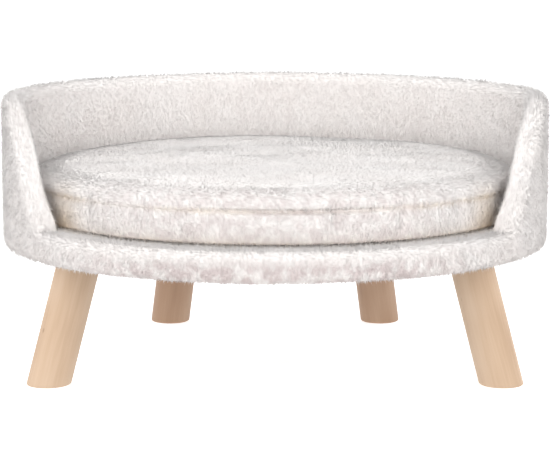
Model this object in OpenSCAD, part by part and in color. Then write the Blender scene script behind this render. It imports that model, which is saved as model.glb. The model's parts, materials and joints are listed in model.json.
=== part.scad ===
// Round upholstered pet sofa: a padded drum base on four splayed legs, a curved
// wall of one level height round the back and sides, and a loose zipped cushion.
// Millimetres. Origin: the drum's axis at the floor. Front faces -Y, up is +Z.

/* [Overall] */
// Outside radius of the upholstered drum
drum_r = 260; // [200:1:360]
// Height of the wall's crest above the floor
rim_z = 262; // [240:1:360]
// Height of the upholstered underside above the floor
underside_z = 117; // [80:1:150]

/* [Base] */
// Thickness of the plywood base board
board_t = 15; // [9:0.5:18]
// Thickness of the foam on top of the board
deck_foam_t = 7; // [3:0.5:15]
// Rounding of the base's lower outside edge
base_lower_round = 12; // [10:0.5:14]
// Rounding of the base's upper outside edge, seen at the front opening
base_upper_round = 10; // [8:0.5:12]
// Width of the cover's turned-under margin beyond the panel
turn_under = 31; // [20:1:45]
// Thickness of the non-woven dust cover
dust_cover_t = 1; // [0.5:0.1:2]

/* [Wall] */
// Thickness of the fur fabric with its pile pressed
fur_t = 4; // [3:0.5:6]
// Thickness of the foam outside the bent panel
outer_foam_t = 3; // [2:0.5:8]
// Thickness of the bent plywood panel
panel_t = 6; // [4:0.5:12]
// Thickness of the foam inside the bent panel
inner_foam_t = 5; // [3:0.5:15]
// How far in front of the axis the wall's front edge starts, at the deck
opening_y = 132; // [90:1:170]
// Lean of the wall's front edge from the vertical
opening_lean = 28; // [10:1:40]
// Radius of the corner between the front edge and the rim
opening_round = 90; // [40:1:100]

/* [Legs] */
// Diameter of a leg
leg_d = 40; // [28:1:50]
// How far a foot's centre stands in from the drum's side, on the floor
foot_in = 23; // [15:1:60]
// Outward splay of a leg from the vertical
leg_splay = 16; // [5:1:20]
// Direction of the front legs, measured from straight ahead
front_leg_az = 62; // [40:1:70]
// Direction of the back legs, measured from straight behind
back_leg_az = 28; // [20:1:50]
// Diameter of the leg bolt's thread
bolt_d = 8; // [6:1:10]
// Depth of the bolt in the leg
bolt_in_leg = 24; // [15:1:40]
// Play of the leg in the hole in the covers
leg_hole_gap = 2.5; // [1.5:0.5:5]

/* [Cushion] */
// Gap between the cushion and the wall
cushion_gap = 2; // [1:0.5:6]
// Radius of the cushion's lower edge roll, below the seam
lower_roll_r = 15.5; // [12:0.5:20]
// Radius of the cushion's upper edge roll, above the seam
upper_roll_r = 9; // [6:0.5:12]
// Depth by which the two edge rolls merge at the seam
roll_merge = 5; // [2:0.5:6]
// Rise of the crown over the upper edge roll
crown_rise = 13; // [4:0.5:20]
// Thickness of the cushion's cover
cushion_cover_t = 2.5; // [1.5:0.5:4]

/* [Zip] */
// Angle that the zip spans round the back of the cushion
zip_span = 100; // [60:1:140]
// Width of the zip's tape
zip_w = 9; // [7:0.5:10]
// Length of the zip's slider
slider_len = 9; // [7:0.5:14]
// Length of the slider's pull
pull_len = 24; // [16:1:40]

/* [Fasteners] */
// Number of screws that hold the panel to the board's edge
panel_screw_count = 14; // [8:1:20]
// Number of staples that hold the dust cover
staple_count = 28; // [16:1:40]

/* [Hidden] */
$fn = 96;

// Radii, from the outside in
foam_out_r = drum_r - fur_t;
panel_out_r = foam_out_r - outer_foam_t;
panel_in_r = panel_out_r - panel_t;
foam_in_r = panel_in_r - inner_foam_t;
wall_in_r = foam_in_r - fur_t;
wall_mid_r = (drum_r + wall_in_r) / 2;
rim_round = (drum_r - wall_in_r) / 2;
rim_foam_round = rim_round - fur_t;

// Heights, from the underside up
wrap_t = 2.5;
wrap_z = underside_z + dust_cover_t;
board_z = wrap_z + wrap_t;
board_top_z = board_z + board_t;
deck_foam_top_z = board_top_z + deck_foam_t;
deck_z = deck_foam_top_z + fur_t;
rim_foam_z = rim_z - rim_round;
void_chamfer = outer_foam_t - 0.2;
// The cover is folded double over the wall's two front edges
end_t = 2 * fur_t;
glue_gap = 0.1;
panel_set_back = 1;
crest_over = 3;
corner_steps = 10;
turn_in_r = panel_out_r - turn_under;
dust_cover_r = turn_in_r + 10;

// Legs and their bolts
leg_r = leg_d / 2;
foot_r = drum_r - foot_in;
leg_gap = 0.2;
leg_top_z = board_z - leg_gap;
leg_top_r = foot_r - leg_top_z * tan(leg_splay);
leg_hole_r = leg_r + leg_hole_gap;
bolt_r = bolt_d / 2;
bolt_play = 0.05;
nut_wall = 1.2;
nut_r = bolt_r + bolt_play + nut_wall;
nut_flange_r = nut_r + 6;
nut_flange_t = 1.5;
nut_teeth_count = 4;
nut_tooth = [1.2, 2.4, 6];
bolt_top_z = board_top_z + nut_flange_t;
front_left_az = -90 - front_leg_az;
front_right_az = -90 + front_leg_az;
back_left_az = 90 + back_leg_az;
back_right_az = 90 - back_leg_az;
LEG_AZIMUTHS = [front_left_az, front_right_az, back_left_az, back_right_az];

// Cushion
deck_gap = 0.4;
cushion_r = wall_in_r - cushion_gap;
lower_roll_at = cushion_r - lower_roll_r;
upper_roll_at = cushion_r - upper_roll_r;
lower_roll_z = deck_z + deck_gap + lower_roll_r;
upper_roll_z = lower_roll_z + lower_roll_r + upper_roll_r - roll_merge;
seam_z = lower_roll_z + lower_roll_r - roll_merge / 2;
crown_edge_r = upper_roll_at - 12;
crown_r = (pow(crown_edge_r, 2) + pow(crown_rise, 2)) / (2 * crown_rise);
cushion_bottom_z = lower_roll_z - lower_roll_r;
cushion_edge_top_z = upper_roll_z + upper_roll_r;

// Zip, laid in a groove of the lower roll, round the back
zip_z = lower_roll_z - 5;
zip_groove_r = cushion_r - 5.6;
tape_t = 1.2;
teeth_t = 1;
teeth_w = 4;
slider_play = 0.2;
slider_r = zip_groove_r + tape_t + teeth_t + slider_play;
slider_t = 2.4;
slider_w = 7;
pull_t = 1;
pull_w = 4.5;
zip_start_az = 90 - zip_span / 2;
slider_deg = slider_len / slider_r * 180 / PI;
pull_deg = pull_len / slider_r * 180 / PI;
end_margin_deg = 1;

// Fasteners
screw_r = 2;
screw_head_r = 3.8;
screw_head_t = 2;
screw_into_board = 24;
staple_w = 10;
staple_wire = 0.6;
staple_leg = 7;
staple_ring_r = (turn_in_r + dust_cover_r) / 2;

// A plain ring about the axis
module ring(inner_r, outer_r, low_z, high_z) {
    translate([0, 0, low_z])
    difference() {
        cylinder(r = outer_r, h = high_z - low_z);
        translate([0, 0, -1])
        cylinder(r = inner_r, h = high_z - low_z + 2);
    }
}

// Side outline (Y, Z) of the space in front of the wall, moved back by an inset: a
// leaning edge that turns through a round corner to just above the rim
function corner_turn() = 90 - opening_lean;
function opening_outline(inset, low_z) =
    let (tangent = opening_round * tan(corner_turn() / 2),
         corner_z = rim_z + crest_over,
         corner_y = -opening_y + (corner_z - deck_z) * tan(opening_lean),
         centre_y = corner_y + tangent,
         centre_z = corner_z - opening_round,
         arc_r = opening_round - inset,
         edge_y = centre_y - arc_r * cos(opening_lean),
         edge_z = centre_z + arc_r * sin(opening_lean))
    concat(
        [[edge_y - (edge_z - low_z) * tan(opening_lean), low_z]],
        [for (i = [0 : corner_steps])
            let (a = opening_lean + corner_turn() * i / corner_steps)
            [centre_y - arc_r * cos(a), centre_z + arc_r * sin(a)]],
        [[centre_y, rim_z + 20], [-drum_r - 20, rim_z + 20], [-drum_r - 20, low_z]]);

// The space in front of the wall, as wide as the drum
module opening_block(inset, low_z) {
    rotate([90, 0, 90])
    linear_extrude(height = 2 * drum_r + 40, center = true)
    polygon(opening_outline(inset, low_z));
}

// Base ring of the cover, with both outside edges rounded
module base_skin_blank() {
    rotate_extrude()
    difference() {
        translate([turn_in_r, wrap_z])
        square([drum_r - turn_in_r, deck_z - wrap_z]);
        translate([drum_r - base_lower_round, wrap_z - 1])
        difference() {
            square([base_lower_round + 1, base_lower_round + 1]);
            translate([0, base_lower_round + 1])
            circle(r = base_lower_round);
        }
        translate([drum_r - base_upper_round, deck_z - base_upper_round])
        difference() {
            square([base_upper_round + 1, base_upper_round + 1]);
            circle(r = base_upper_round);
        }
    }
}

// Hollow of the base ring: board, foam and the panel's lower edge
module base_hollow() {
    rotate_extrude()
    polygon([
        [0, board_z],
        [foam_out_r - void_chamfer, board_z],
        [foam_out_r, board_z + void_chamfer],
        [foam_out_r, deck_foam_top_z - void_chamfer],
        [foam_out_r - void_chamfer, deck_foam_top_z],
        [0, deck_foam_top_z]
    ]);
}

// Full ring of the wall with a half-round top
module wall_ring(inner_r, outer_r, low_z, crest_z) {
    round_r = (outer_r - inner_r) / 2;
    rotate_extrude()
    union() {
        translate([inner_r, low_z])
        square([outer_r - inner_r, crest_z - round_r - low_z]);
        translate([inner_r + round_r, crest_z - round_r])
        circle(r = round_r);
    }
}

// A ring that is whole below the deck and follows the wall above it
module shaped_ring(inner_r, outer_r, low_z, inset) {
    difference() {
        ring(inner_r, outer_r, low_z, rim_foam_z);
        opening_block(inset, board_top_z);
    }
}

// Round holes for the legs, through the covers
module leg_holes() {
    for (az = LEG_AZIMUTHS)
        rotate([0, 0, az])
        translate([foot_r - (wrap_z + wrap_t / 2) * tan(leg_splay), 0, underside_z - 1])
        cylinder(r = leg_hole_r, h = wrap_t + dust_cover_t + 1);
}

module base_board() {
    color("burlywood")
    difference() {
        translate([0, 0, board_z])
        cylinder(r = panel_in_r, h = board_t);
        for (az = LEG_AZIMUTHS)
            rotate([0, 0, az])
            translate([leg_top_r, 0, board_z - 1])
            cylinder(r = nut_r, h = board_t + 2);
    }
}

module wall_panel() {
    color("peru")
    shaped_ring(panel_in_r, panel_out_r, board_z, end_t + panel_set_back);
}

module panel_screw() {
    translate([0, 0, -screw_into_board - panel_t])
    cylinder(r = screw_r, h = screw_into_board + panel_t);
    translate([0, 0, -screw_head_t])
    cylinder(r1 = screw_r, r2 = screw_head_r, h = screw_head_t);
}

module panel_screws() {
    color("silver")
    for (i = [0 : panel_screw_count - 1])
        rotate([0, 0, (i + 0.5) * 360 / panel_screw_count])
        translate([panel_out_r, 0, board_z + board_t / 2])
        rotate([0, 90, 0])
        panel_screw();
}

module deck_foam() {
    color("lightyellow")
    difference() {
        translate([0, 0, board_top_z])
        cylinder(r = foam_in_r, h = deck_foam_t);
        for (az = LEG_AZIMUTHS)
            rotate([0, 0, az])
            translate([leg_top_r, 0, board_top_z - 1])
            cylinder(r = nut_flange_r, h = nut_flange_t + 1);
    }
}

module front_edge_foam() {
    color("lightyellow")
    intersection() {
        rotate_extrude()
        polygon([
            [foam_in_r, board_top_z],
            [foam_out_r, board_top_z],
            [foam_out_r, deck_foam_top_z - void_chamfer],
            [foam_out_r - void_chamfer, deck_foam_top_z],
            [foam_in_r, deck_foam_top_z]
        ]);
        opening_block(end_t, underside_z);
    }
}

module inner_wall_foam() {
    color("lightyellow")
    difference() {
        ring(foam_in_r, panel_in_r - glue_gap, board_top_z, rim_foam_z);
        opening_block(end_t, underside_z);
    }
}

module outer_wall_foam() {
    color("lightyellow")
    shaped_ring(panel_out_r + glue_gap, foam_out_r, board_z + void_chamfer, end_t);
}

module rim_foam() {
    color("lightyellow")
    difference() {
        rotate_extrude()
        translate([wall_mid_r, rim_foam_z])
        intersection() {
            circle(r = rim_foam_round);
            translate([-rim_foam_round - 1, 0])
            square([2 * rim_foam_round + 2, rim_foam_round + 1]);
        }
        opening_block(end_t, underside_z);
    }
}

module outer_cover() {
    color("ivory")
    difference() {
        union() {
            base_skin_blank();
            difference() {
                wall_ring(wall_in_r, drum_r, deck_z - base_upper_round - 1, rim_z);
                opening_block(0, underside_z);
            }
        }
        base_hollow();
        difference() {
            wall_ring(foam_in_r, foam_out_r, board_top_z, rim_z - fur_t);
            opening_block(end_t, underside_z);
        }
        leg_holes();
    }
}

module deck_cover() {
    color("ivory")
    translate([0, 0, deck_foam_top_z])
    cylinder(r = turn_in_r, h = fur_t);
}

module dust_cover() {
    color("dimgray")
    difference() {
        translate([0, 0, underside_z])
        cylinder(r = dust_cover_r, h = dust_cover_t);
        leg_holes();
    }
}

module staple() {
    translate([-staple_wire / 2, -staple_w / 2, -staple_wire])
    cube([staple_wire, staple_w, staple_wire]);
    for (side = [-1, 1])
        translate([-staple_wire / 2, side * (staple_w - staple_wire) / 2 - staple_wire / 2, -staple_wire])
        cube([staple_wire, staple_wire, staple_leg]);
}

// Staples stand clear of the leg holes: one that would meet a hole is left out
module dust_cover_staples() {
    hole_half_deg = asin(min(1, (leg_hole_r + staple_w) / staple_ring_r));
    color("silver")
    for (i = [0 : staple_count - 1])
        let (az = i * 360 / staple_count)
        if (min([for (leg = LEG_AZIMUTHS) abs((az - leg + 540) % 360 - 180)]) > hole_half_deg)
            rotate([0, 0, az])
            translate([staple_ring_r, 0, underside_z])
            staple();
}

module tee_nut() {
    difference() {
        union() {
            cylinder(r = nut_r, h = board_t);
            translate([0, 0, board_t])
            cylinder(r = nut_flange_r, h = nut_flange_t);
            for (i = [0 : nut_teeth_count - 1])
                rotate([0, 0, i * 360 / nut_teeth_count])
                translate([nut_flange_r - nut_tooth[0], -nut_tooth[1] / 2, board_t - nut_tooth[2]])
                cube(nut_tooth);
        }
        translate([0, 0, -1])
        cylinder(r = bolt_r + bolt_play, h = board_t + nut_flange_t + 2);
    }
}

module tee_nuts() {
    color("silver")
    for (az = LEG_AZIMUTHS)
        rotate([0, 0, az])
        translate([leg_top_r, 0, board_z])
        tee_nut();
}

// A leg: a round bar that leans outwards, cut level at the floor and at the board
module leg(az) {
    color("tan")
    rotate([0, 0, az])
    difference() {
        intersection() {
            translate([foot_r, 0, 0])
            rotate([0, -leg_splay, 0])
            translate([0, 0, -leg_d])
            cylinder(r = leg_r, h = leg_top_z + 3 * leg_d);
            translate([foot_r - 3 * leg_d, -leg_d, 0])
            cube([6 * leg_d, 2 * leg_d, leg_top_z]);
        }
        translate([leg_top_r, 0, leg_top_z - bolt_in_leg])
        cylinder(r = bolt_r, h = bolt_in_leg + 1);
    }
}

// A leg bolt: upright in the leg's top, through the board's threaded insert
module leg_bolt(az) {
    color("silver")
    rotate([0, 0, az])
    translate([leg_top_r, 0, leg_top_z - bolt_in_leg])
    cylinder(r = bolt_r, h = bolt_top_z - leg_top_z + bolt_in_leg);
}

// Half section of the cushion, drawn in by a distance from its outer surface
module cushion_outline(inset) {
    low_z = cushion_bottom_z + inset;
    top_z = cushion_edge_top_z - inset;
    union() {
        translate([0, low_z])
        square([lower_roll_at, top_z - low_z]);
        translate([0, lower_roll_z])
        square([upper_roll_at, top_z - lower_roll_z]);
        translate([lower_roll_at, lower_roll_z])
        circle(r = lower_roll_r - inset);
        translate([upper_roll_at, upper_roll_z])
        circle(r = upper_roll_r - inset);
        intersection() {
            translate([0, cushion_edge_top_z + crown_rise - crown_r])
            circle(r = crown_r - inset, $fn = 720);
            translate([0, top_z - 1])
            square([crown_edge_r, crown_rise + 2]);
        }
    }
}

module cushion_skin() {
    rotate_extrude()
    difference() {
        cushion_outline(0);
        cushion_outline(cushion_cover_t);
    }
}

// Groove in the lower roll that the zip lies in
module zip_groove() {
    rotate([0, 0, zip_start_az])
    rotate_extrude(angle = zip_span)
    translate([zip_groove_r, zip_z - zip_w / 2])
    square([20, zip_w]);
}

module cushion_top_cover() {
    color("ivory")
    intersection() {
        cushion_skin();
        translate([0, 0, seam_z])
        cylinder(r = drum_r, h = rim_z);
    }
}

module cushion_band_cover() {
    color("ivory")
    difference() {
        intersection() {
            cushion_skin();
            ring(lower_roll_at, drum_r, cushion_bottom_z - 1, seam_z);
        }
        zip_groove();
    }
}

module cushion_base_panel() {
    color("linen")
    translate([0, 0, cushion_bottom_z])
    cylinder(r = lower_roll_at, h = cushion_cover_t);
}

module cushion_fill() {
    color("white")
    difference() {
        rotate_extrude()
        cushion_outline(cushion_cover_t);
        zip_groove();
    }
}

module cushion_zip_tape() {
    color("gainsboro")
    rotate([0, 0, zip_start_az])
    rotate_extrude(angle = zip_span)
    union() {
        translate([zip_groove_r, zip_z - zip_w / 2])
        square([tape_t, zip_w]);
        translate([zip_groove_r + tape_t, zip_z - teeth_w / 2])
        square([teeth_t, teeth_w]);
    }
}

module cushion_zip_slider() {
    color("silver")
    rotate([0, 0, zip_start_az + end_margin_deg])
    rotate_extrude(angle = slider_deg)
    translate([slider_r, zip_z - slider_w / 2])
    square([slider_t, slider_w]);
}

// The pull lies flat along the zip, ahead of the slider
module cushion_zip_pull() {
    color("silver")
    rotate([0, 0, zip_start_az + end_margin_deg + slider_deg / 2])
    rotate_extrude(angle = pull_deg)
    translate([slider_r + slider_t, zip_z - pull_w / 2])
    square([pull_t, pull_w]);
}

base_board();
wall_panel();
panel_screws();
deck_foam();
front_edge_foam();
inner_wall_foam();
outer_wall_foam();
rim_foam();
outer_cover();
deck_cover();
dust_cover();
dust_cover_staples();
tee_nuts();
leg(front_left_az);  // leg_front_left
leg(front_right_az);  // leg_front_right
leg(back_left_az);  // leg_back_left
leg(back_right_az);  // leg_back_right
leg_bolt(front_left_az);  // leg_bolt_front_left
leg_bolt(front_right_az);  // leg_bolt_front_right
leg_bolt(back_left_az);  // leg_bolt_back_left
leg_bolt(back_right_az);  // leg_bolt_back_right
cushion_top_cover();
cushion_band_cover();
cushion_base_panel();
cushion_fill();
cushion_zip_tape();
cushion_zip_slider();
cushion_zip_pull();
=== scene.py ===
"""Looks of a round pet sofa: cream plush covers, a loose cushion and four wooden legs.

Metres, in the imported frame: the drum's axis is Z, the open front faces -Y, the floor is
Z = 0. Angles round the drum are measured from straight ahead, positive to the right.
"""
import json
import math

import bpy
import numpy as np
from mathutils import Matrix, Vector
from mathutils.bvhtree import BVHTree


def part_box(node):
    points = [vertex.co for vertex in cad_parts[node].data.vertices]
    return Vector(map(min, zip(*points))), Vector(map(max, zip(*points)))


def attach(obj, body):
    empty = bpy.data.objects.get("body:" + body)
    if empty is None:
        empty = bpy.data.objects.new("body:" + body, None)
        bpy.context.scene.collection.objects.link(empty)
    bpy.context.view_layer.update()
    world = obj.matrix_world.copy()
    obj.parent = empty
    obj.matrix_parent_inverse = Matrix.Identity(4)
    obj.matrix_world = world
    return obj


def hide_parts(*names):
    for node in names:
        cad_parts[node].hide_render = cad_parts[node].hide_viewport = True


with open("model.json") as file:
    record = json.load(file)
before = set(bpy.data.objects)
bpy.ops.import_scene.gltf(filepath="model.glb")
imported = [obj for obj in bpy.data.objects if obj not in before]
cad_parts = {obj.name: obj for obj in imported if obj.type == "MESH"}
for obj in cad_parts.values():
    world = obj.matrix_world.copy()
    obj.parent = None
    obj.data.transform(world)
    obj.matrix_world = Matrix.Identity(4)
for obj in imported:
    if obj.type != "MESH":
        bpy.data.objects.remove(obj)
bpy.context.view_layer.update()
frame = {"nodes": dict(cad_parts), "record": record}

MM = 0.001
TAU = 2 * math.pi
DEG = math.radians(1)

# ---- sizes from the frame

cover_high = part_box("outer_cover")[1]
deck_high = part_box("deck_cover")[1]
top_low, top_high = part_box("cushion_top_cover")
tape_low, tape_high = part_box("cushion_zip_tape")

DRUM_R = cover_high[0]
RIM_Z = cover_high[2]
UNDERSIDE_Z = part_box("dust_cover")[0][2]
DECK_Z = deck_high[2]
TURN_IN_R = deck_high[0]
CUSHION_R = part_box("cushion_band_cover")[1][0]
CUSHION_LOW_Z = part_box("cushion_base_panel")[0][2]
CUSHION_SEAM_Z = top_low[2]
CUSHION_TOP_Z = top_high[2]
WALL_T = 22 * MM

# The side outline of the opening, as the covers are cut
OPENING_Y = 132 * MM
OPENING_LEAN = math.radians(28)
OPENING_ROUND = 90 * MM

# Legs: direction from straight ahead, and the round holes they pass the covers by
LEG_ANGLES = np.radians([62, -62, 152, -152])
LEG_HOLE_AT = 202.7 * MM
LEG_HOLE_R = 22.5 * MM
# The padding pushes the wall's two front ends forward of the boards
WALL_END_FORWARD = 11 * MM
EDGE_ROUND = 7 * MM

# The zip, in a groove of the cushion's lower roll round its back
ZIP_Z = (tape_low[2] + tape_high[2]) / 2
ZIP_R = CUSHION_R - 5.6 * MM
ZIP_HALF_SPAN = math.radians(50)

# Pile: how far the backing lies under the pressed surface, and the tufts' own sizes
PILE_DEPTH = 2.2 * MM
HAIR_LENGTH = 5.5 * MM
INSIDE_HAIR = 4.5 * MM
DECK_HAIR = 4 * MM
CROWN_HAIR = 3.6 * MM
UNDER_HAIR = 2.5 * MM
HAIR_WIDTH = 0.36 * MM
ROOT_DEPTH = 0.6 * MM
HAIRS_PER_M2, DECK_HAIRS_PER_M2 = ((420000, 252000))
TUFT_POINTS = 4

# The cushion: how far its pad is puffed up, how deep its edge sinks into the deck's pile,
# how far it stands out between the wall's ends, and the width and drop of its shoulder
PUFF = 6 * MM
EDGE_SINK = 1.7 * MM
FRONT_BULGE = 2.5 * MM
SHOULDER_WIDE = 27 * MM
SHOULDER_DROP = 4 * MM


# ---- small tools

def rising(value, start, width):
    """0 up to start, then evenly up to 1 over a width; a width below 0 falls instead."""
    return np.clip((value - start) / width, 0, 1)


def eased(value):
    """A number from 0 to 1, drawn to its two ends with no corner."""
    return value * value * (3 - 2 * value)


def bell(value):
    return np.exp(-value ** 2)


def lattice(ix, iy, iz, seed):
    """A random number from 0 to 1 for each whole-number point."""
    h = ix * 374761393 + iy * 668265263 + iz * 2147483647 + seed * 974634777
    h = (h ^ (h >> 13)) * 1274126177
    h = h ^ (h >> 16)
    return (h & 0xFFFF) / 65535.0


def noise(points, size, seed):
    """Smooth noise from -1 to 1, with features about size across."""
    p = np.asarray(points, float) / size + 4096.0
    cell = np.floor(p).astype(np.int64)
    f = eased(p - cell)
    total = np.zeros(len(p))
    for corner in range(8):
        dx, dy, dz = corner & 1, (corner >> 1) & 1, (corner >> 2) & 1
        weight = (np.where(dx, f[:, 0], 1 - f[:, 0]) * np.where(dy, f[:, 1], 1 - f[:, 1])
                  * np.where(dz, f[:, 2], 1 - f[:, 2]))
        total += weight * lattice(cell[:, 0] + dx, cell[:, 1] + dy, cell[:, 2] + dz, seed)
    return total * 2 - 1


def unit(v):
    return v / np.maximum(np.linalg.norm(v, axis=-1, keepdims=True), 1e-12)


def around(angle, radius, z):
    """Points at an angle from straight ahead, a radius and a height."""
    angle, radius, z = np.broadcast_arrays(angle, radius, z)
    return np.stack([radius * np.sin(angle), -radius * np.cos(angle), z], -1)


def angle_of(points):
    return np.arctan2(points[:, 0], -points[:, 1])


def radius_of(points):
    return np.hypot(points[:, 0], points[:, 1])


def turn_from(centre, angle):
    """How far each angle lies from a centre, the short way round."""
    return np.arctan2(np.sin(angle - centre), np.cos(angle - centre))


def circle(count):
    return np.arange(count) / count * TAU


def revolve(path, count):
    """The points of a half section at evenly spaced angles round the axis."""
    return np.concatenate([around(a, path[:, 0], path[:, 1]) for a in circle(count)])


def lathed_faces(rows, count):
    """Faces of a closed lathed solid: at each step round, one to the point under it, the
    side's from the bottom up, and one to the point on top."""
    under, crest = rows * count, rows * count + 1
    faces = []
    for i in range(count):
        j = (i + 1) % count
        faces.append([under, j * rows, i * rows])
        faces += [[i * rows + k, j * rows + k, j * rows + k + 1, i * rows + k + 1]
                  for k in range(rows - 1)]
        faces.append([j * rows + rows - 1, crest, i * rows + rows - 1])
    return faces


def lathed_uv(rows, count):
    """A place on the unit square for each corner of those faces."""
    heights = [0.02 + 0.96 * k / rows for k in range(rows)]
    uv = []
    for i in range(count):
        u, u2 = i / count, (i + 1) / count
        uv += [(u, 0.0), (u2, 0.02), (u, 0.02)]
        for v, v2 in zip(heights, heights[1:]):
            uv += [(u, v), (u2, v), (u2, v2), (u, v2)]
        uv += [(u2, 0.98), (u, 1.0), (u, 0.98)]
    return uv


def read(items, field, width, kind):
    """A field of a mesh's items, as an array with so many numbers to each item."""
    values = np.empty(len(items) * width, kind)
    items.foreach_get(field, values)
    return values.reshape(-1, width)


def write(items, field, values, kind=np.float32):
    items.foreach_set(field, np.asarray(values, kind).ravel())


def link(name, data):
    thing = bpy.data.objects.new(name, data)
    bpy.context.scene.collection.objects.link(thing)
    return thing


def make_mesh(name, points, faces, uv=None, smooth=True):
    """An object from points and faces; uv holds one place per face corner."""
    mesh = bpy.data.meshes.new(name)
    if isinstance(faces, list):
        sizes = np.array([len(f) for f in faces])
        corners = np.concatenate(faces)
    else:
        sizes = np.full(len(faces), faces.shape[1])
        corners = faces.ravel()
    mesh.vertices.add(len(points))
    write(mesh.vertices, "co", points)
    mesh.loops.add(len(corners))
    write(mesh.loops, "vertex_index", corners, np.int32)
    mesh.polygons.add(len(sizes))
    write(mesh.polygons, "loop_start", np.r_[0, np.cumsum(sizes)[:-1]], np.int32)
    write(mesh.polygons, "loop_total", sizes, np.int32)
    write(mesh.polygons, "use_smooth", np.full(len(sizes), smooth), bool)
    if uv is not None:
        write(mesh.uv_layers.new(name="OFBake").data, "uv", uv)
    mesh.update(calc_edges=True)
    mesh.validate()
    return link(name, mesh)


def apply_modifiers(piece):
    bpy.context.view_layer.update()
    graph = bpy.context.evaluated_depsgraph_get()
    mesh = bpy.data.meshes.new_from_object(piece.evaluated_get(graph))
    old = piece.data
    piece.modifiers.clear()
    piece.data = mesh
    bpy.data.meshes.remove(old)


def finish_piece(piece, body, slot, material, *nodes):
    """Gives a piece its material, its body, and the nodes it stands in for; the slot is not used.
    """
    piece.data.materials.clear()
    piece.data.materials.append(material)
    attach(piece, body)
    if nodes:
        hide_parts(*nodes)


def vertex_arrays(mesh):
    """The places and the normals of a mesh's points."""
    return [read(mesh.vertices, field, 3, np.float32).astype(float)
            for field in ("co", "normal")]


def move_points(piece, co):
    write(piece.data.vertices, "co", co)
    piece.data.update()


def mark(piece, name, values):
    """Gives each of a piece's points a number for its material to read."""
    write(piece.data.attributes.new(name, "FLOAT", "POINT").data, "value", values)


# ---- materials

def feed(tree, node, inputs):
    """Gives a node's inputs their values, or joins them to other nodes' outputs."""
    for key, value in inputs.items():
        if isinstance(value, bpy.types.NodeSocket):
            tree.links.new(value, node.inputs[key])
        else:
            node.inputs[key].default_value = value
    return node


def add_node(tree, kind, inputs, **settings):
    node = tree.nodes.new("ShaderNode" + kind)
    for key, value in settings.items():
        setattr(node, key, value)
    return feed(tree, node, inputs)


def ramp(tree, value, stops):
    """Colours for a value, from stops of place and colour."""
    node = add_node(tree, "ValToRGB", {"Fac": value})
    while len(node.color_ramp.elements) < len(stops):
        node.color_ramp.elements.new(0.5)
    for element, (place, colour) in zip(node.color_ramp.elements, stops):
        element.position = place
        element.color = (*colour, 1)
    return node.outputs["Color"]


def cloudy(tree, vector, scale, detail=3.0, roughness=0.55):
    inputs = {"Vector": vector, "Scale": scale, "Detail": detail, "Roughness": roughness}
    return add_node(tree, "TexNoise", inputs).outputs["Fac"]


def stretched(tree, vector, along_z):
    """Coordinates that run slower along Z, so patterns are drawn out there."""
    inputs = {"Vector": vector, "Scale": (1, 1, along_z)}
    return add_node(tree, "Mapping", inputs).outputs["Vector"]


def cell_distance(tree, vector, scale):
    inputs = {"Vector": vector, "Scale": scale}
    return add_node(tree, "TexVoronoi", inputs).outputs["Distance"]


def multiply(tree, a, b):
    return add_node(tree, "Math", {0: a, 1: b}, operation="MULTIPLY").outputs[0]


def multiply_add(tree, a, b, c):
    return add_node(tree, "Math", {0: a, 1: b, 2: c}, operation="MULTIPLY_ADD").outputs[0]


def tinted(tree, surface, factor, colour):
    """A surface's colour with another mixed in by a factor."""
    inputs = {"Factor": factor, "A": surface, "B": (*colour, 1)}
    return add_node(tree, "Mix", inputs, data_type="RGBA").outputs["Result"]


def marked(tree, name):
    """What mark() gave the points, or nothing where a piece has no such mark."""
    return add_node(tree, "Attribute", {}, attribute_name=name).outputs["Fac"]


def new_material(name):
    """A material, its node tree and the object's own coordinates."""
    material = bpy.data.materials.new(name)
    material.use_nodes = True
    tree = material.node_tree
    return material, tree, tree.nodes.new("ShaderNodeTexCoord").outputs["Object"]


def finish_material(material, colour, roughness, height, strength, distance, **others):
    """Sets the shader's colour, roughness and bump: the height's strength and distance."""
    tree = material.node_tree
    inputs = {"Height": height, "Strength": strength, "Distance": distance}
    normal = add_node(tree, "Bump", inputs).outputs["Normal"]
    shader = {"Base Color": colour, "Roughness": roughness, "Normal": normal}
    feed(tree, tree.nodes["Principled BSDF"], shader | others)
    return material


def plush(name, shade, light):
    """Cream plush: soft patches where the pile lies differently, fine streaks, sheen."""
    material, tree, coords = new_material(name)
    patches = cloudy(tree, coords, 22.0, 2.0)
    streaks = cloudy(tree, coords, 420.0, 2.0)
    colour = ramp(tree, multiply_add(tree, streaks, 0.5, patches), [(0.45, shade), (1, light)])
    # Painted shade: creases and corners take the warm tan of light bounced in them, as far as
    # each piece marks them
    colour = tinted(tree, colour, marked(tree, "painted_crease_shade"), CREASE_SHADE_TAN)
    # Painted shade: rosy grey between the pile's clumps, as far as each piece marks it
    clumps = cloudy(tree, coords, 100.0)
    between = ramp(tree, clumps, [(0.40, (0.8, 0.8, 0.8)), (0.62, (0, 0, 0))])
    amount = multiply(tree, marked(tree, "painted_clump_shade"), between)
    colour = tinted(tree, colour, amount, CLUMP_SHADE_ROSE)
    sheen = {"Specular IOR Level": 0.1, "Sheen Weight": 0.2, "Sheen Roughness": 0.5}
    return finish_material(material, colour, 0.95, streaks, 0.35, 0.5 * MM, **sheen)


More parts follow.
